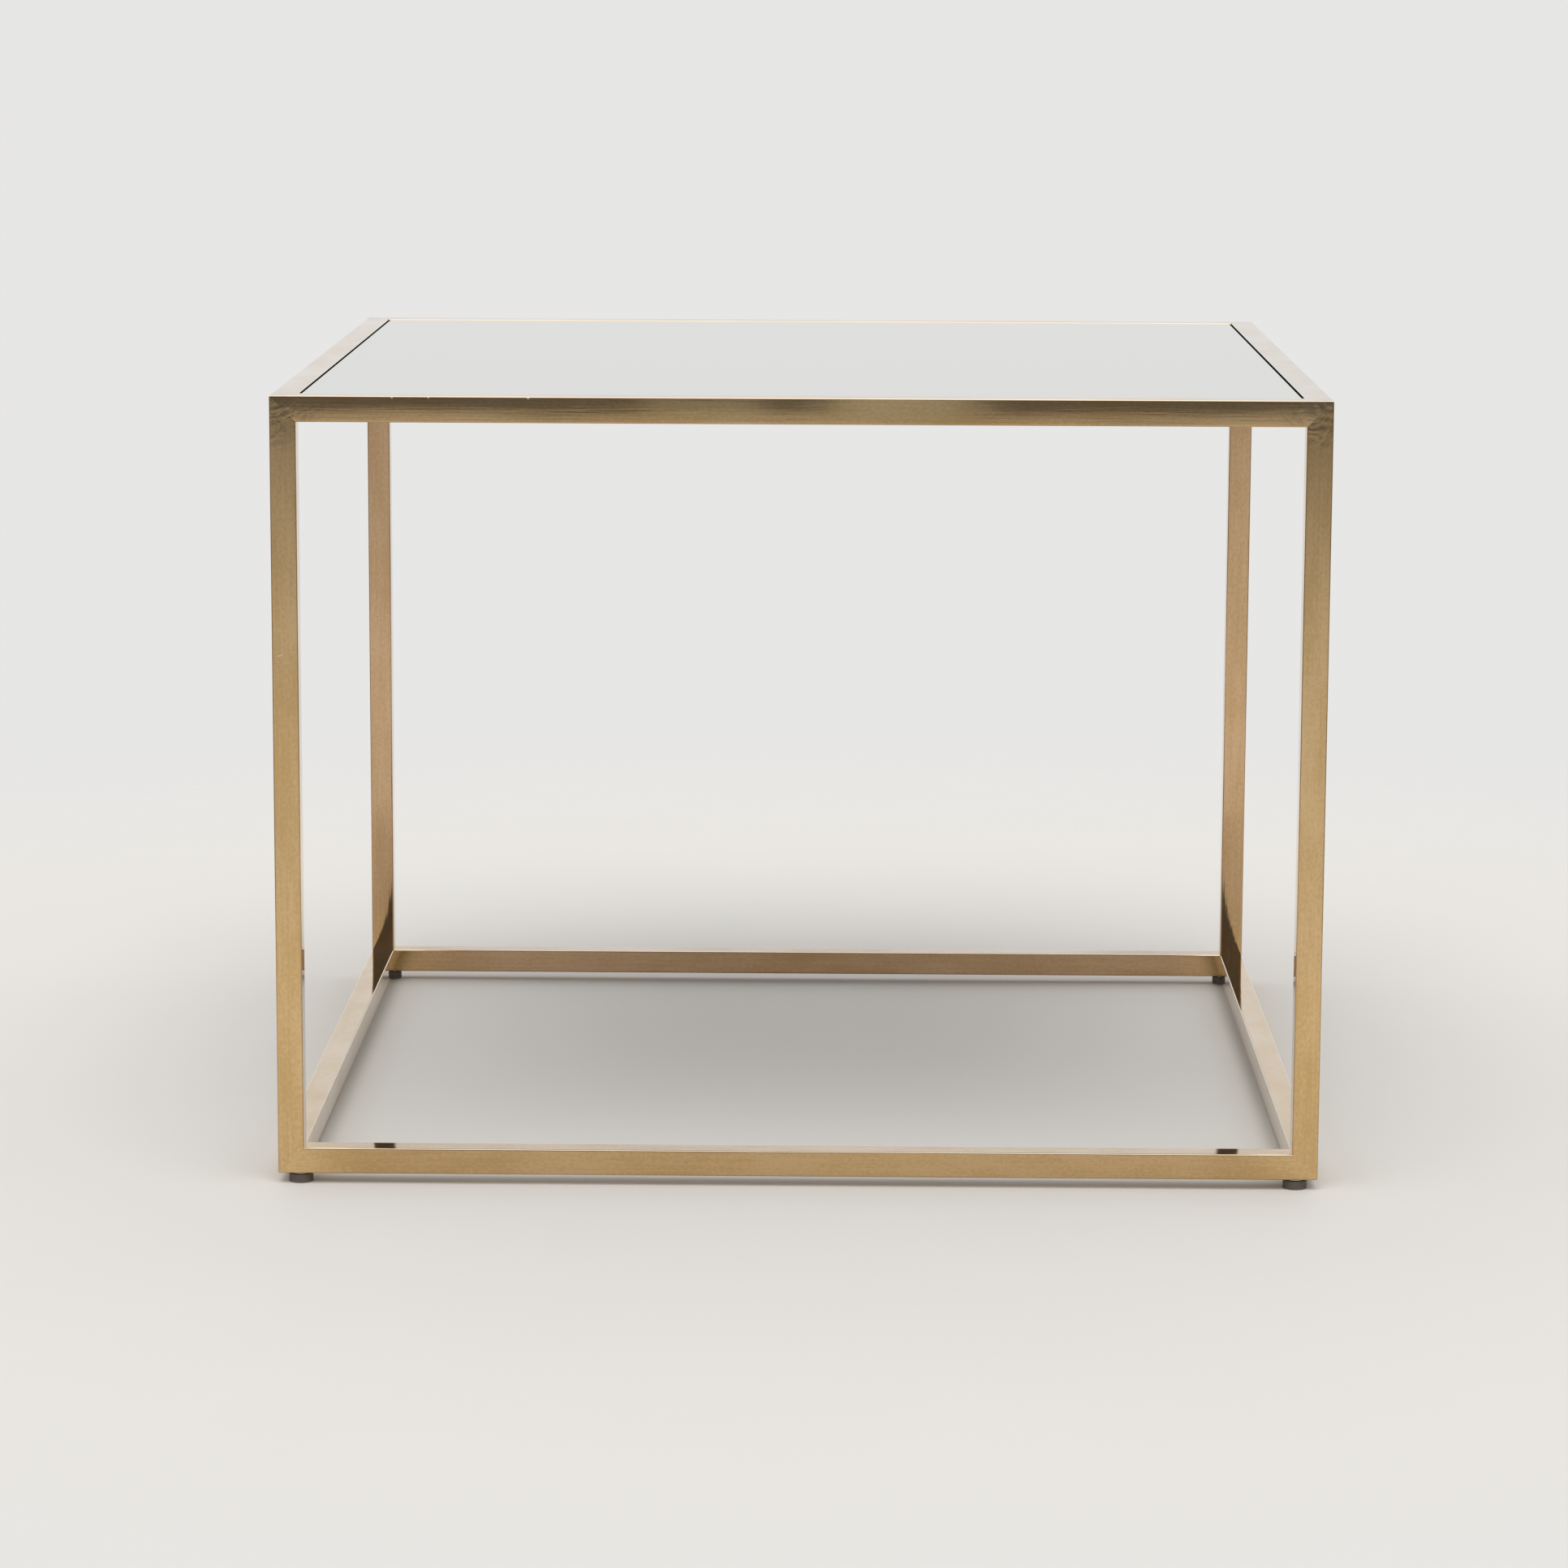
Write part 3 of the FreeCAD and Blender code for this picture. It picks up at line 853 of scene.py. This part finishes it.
def hang_softbox(stage):
    """One very large soft lamp, above and in front of the table."""
    data = bpy.data.lights.new("softbox", "SUN")
    data.energy = stage.lamp_strength
    data.angle = stage.lamp_spread
    data.color = (1.0, 0.99, 0.97)
    lamp = bpy.data.objects.new("softbox", data)
    lamp.location = (0.0, -1.5, 2.2)
    lamp.rotation_euler = (stage.lamp_tilt, 0.0, 0.0)
    lamp.visible_glossy = False
    bpy.context.scene.collection.objects.link(lamp)


def place_camera(stage):
    """The camera, by its place, heading, tilt and roll."""
    data = bpy.data.cameras.new("camera")
    data.lens = stage.lens
    data.sensor_width = SENSOR_WIDTH
    camera = bpy.data.objects.new("camera", data)
    heading = Matrix.Rotation(-stage.camera_turn, 4, "Z")
    tilt = Matrix.Rotation(math.pi / 2 - stage.camera_tilt, 4, "X")
    roll = Matrix.Rotation(stage.camera_roll, 4, "Z")
    camera.matrix_world = Matrix.Translation(stage.camera_place) @ heading @ tilt @ roll
    bpy.context.scene.collection.objects.link(camera)
    bpy.context.scene.camera = camera


# ---------------------------------------------------------------- steps

class SIDETABLE_OT_tubes(bpy.types.Operator):
    """Polish the twelve tubes of the frame"""

    bl_idname = "side_table.tubes"
    bl_label = "Polish the tubes"

    def execute(self, context):
        brass = context.scene.side_table.brass
        for seed, name in enumerate(TUBES, start=1):
            dress(name, polished_brass(
                f"brass_{name}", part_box(name), brass, seed,
                lean=brass.rear_lean if name in LEANING else 0.0,
                shade_kept=PAINTED_SHADE.get(name, UNSHADED),
                calm=CALM_SHARE if name in CALM else 1.0))
        return {"FINISHED"}


class SIDETABLE_OT_ledges(bpy.types.Operator):
    """Finish the ledge bars and add the tack welds that hold them"""

    bl_idname = "side_table.ledges"
    bl_label = "Finish the ledges"

    def execute(self, context):
        brass = context.scene.side_table.brass
        for seed, name in enumerate(LEDGES, start=20):
            low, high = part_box(name)
            material = brushed_ledge(f"brushed_{name}", (low, high), brass, seed)
            dress(name, material)
            side = name.split("_")[0]
            out = Vector(OUTWARD[side])
            axis = tube_axis((low, high))
            direction = Vector([1.0 if i == axis else 0.0 for i in range(3)])
            middle = (low + high) / 2
            seam = middle + out * (high - low).dot(Vector([abs(c) for c in out])) / 2
            seam.z = low.z
            length = (high - low)[axis]
            work = bmesh.new()
            for share in WELD_SHARES:
                tack_weld(work, seam + direction * (share * length), direction)
            piece = finish_piece(f"{side}_ledge_welds", work, material, "frame")
            shade_smooth(piece, 60)
        return {"FINISHED"}


class SIDETABLE_OT_mirror(bpy.types.Operator):
    """Finish the mirror's glass and its silvered back"""

    bl_idname = "side_table.mirror"
    bl_label = "Finish the mirror"

    def execute(self, context):
        mirror = context.scene.side_table.mirror
        dress("mirror_glass", mirror_plate(mirror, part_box("mirror_glass")))
        dress("mirror_backing", silvered_back(mirror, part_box("mirror_backing")))
        return {"FINISHED"}


class SIDETABLE_OT_buttons(bpy.types.Operator):
    """Make the soft domed buttons that the mirror rests on"""

    bl_idname = "side_table.buttons"
    bl_label = "Make the buttons"

    def execute(self, context):
        mirror = context.scene.side_table.mirror
        work = bmesh.new()
        for centre, radius, height in button_places():
            dome = mirror.button_dome
            rim = [
                (radius - dome + dome * math.sin(a), height - dome + dome * math.cos(a))
                for a in [math.radians(90 - 15 * k) for k in range(7)]
            ]
            turn_profile(work, [(0, 0), (radius, 0)] + rim + [(0, height)], centre, steps=32)
        piece = finish_piece("soft_buttons", work, clear_silicone(), "frame",
                             ["ledge_bumpers"])
        shade_smooth(piece)
        return {"FINISHED"}


class SIDETABLE_OT_feet(bpy.types.Operator):
    """Make the threaded foot screws and finish the glides and inserts"""

    bl_idname = "side_table.feet"
    bl_label = "Make the feet"

    def execute(self, context):
        feet = context.scene.side_table.feet
        zinc = zinc_plate(feet)
        plastic = glide_plastic(feet)
        for foot in FEET:
            dress(f"{foot}_foot_insert", zinc)
            dress(f"{foot}_foot_pad", plastic)
            self.make_screw(foot, feet, zinc)
        return {"FINISHED"}

    def make_screw(self, foot, feet, zinc):
        """A screw with a real thread above its flat head, with a hexagon socket."""
        node = f"{foot}_foot_screw"
        low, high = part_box(node)
        centre = ((low.x + high.x) / 2, (low.y + high.y) / 2)
        head = (high.x - low.x) / 2
        work = bmesh.new()
        add_thread(
            work, centre, SHANK_RADIUS, feet.thread_depth, low.z + HEAD_HEIGHT, high.z,
            feet.thread_pitch)
        top = [(0, HEAD_HEIGHT), (head - HEAD_BEVEL, HEAD_HEIGHT)]
        side = [(head, HEAD_HEIGHT - HEAD_BEVEL), (head, HEAD_BEVEL), (head - HEAD_BEVEL, 0)]
        turn_profile(work, top + side, (*centre, low.z), steps=48)
        add_socket(work, (*centre, low.z))
        piece = finish_piece(
            f"{foot}_threaded_screw", work, zinc, f"{foot}_screw", [node])
        shade_smooth(piece, 30)


class SIDETABLE_OT_stage(bpy.types.Operator):
    """Set the floor, the light and the camera"""

    bl_idname = "side_table.stage"
    bl_label = "Set the stage"

    def execute(self, context):
        stage = context.scene.side_table.stage
        lay_floor(stage)
        light_room(stage)
        hang_softbox(stage)
        place_camera(stage)
        context.scene.view_settings.view_transform = "Standard"
        return {"FINISHED"}


OPERATORS = (
    SIDETABLE_OT_tubes, SIDETABLE_OT_ledges, SIDETABLE_OT_mirror, SIDETABLE_OT_buttons,
    SIDETABLE_OT_feet, SIDETABLE_OT_stage,
)


class SIDETABLE_PT_panel(bpy.types.Panel):
    """The side table's steps and settings"""

    bl_idname = "SIDETABLE_PT_panel"
    bl_label = "Side Table"
    bl_space_type = "VIEW_3D"
    bl_region_type = "UI"
    bl_category = "Side Table"

    def draw(self, context):
        settings = context.scene.side_table
        for operator in OPERATORS:
            self.layout.operator(operator.bl_idname)
        for group in (settings.brass, settings.mirror, settings.feet, settings.stage):
            box = self.layout.box()
            for name in group.__annotations__:
                box.prop(group, name)


CLASSES = (
    BrassSettings, MirrorSettings, FootSettings, StageSettings, SideTableSettings,
    *OPERATORS, SIDETABLE_PT_panel,
)


def register():
    for cls in CLASSES:
        bpy.utils.register_class(cls)
    bpy.types.Scene.side_table = bpy.props.PointerProperty(type=SideTableSettings)


def unregister():
    del bpy.types.Scene.side_table
    for cls in reversed(CLASSES):
        bpy.utils.unregister_class(cls)


def main():
    register()
    bpy.ops.side_table.tubes()
    bpy.ops.side_table.ledges()
    bpy.ops.side_table.mirror()
    bpy.ops.side_table.buttons()
    bpy.ops.side_table.feet()
    bpy.ops.side_table.stage()


if __name__ == "__main__":
    main()
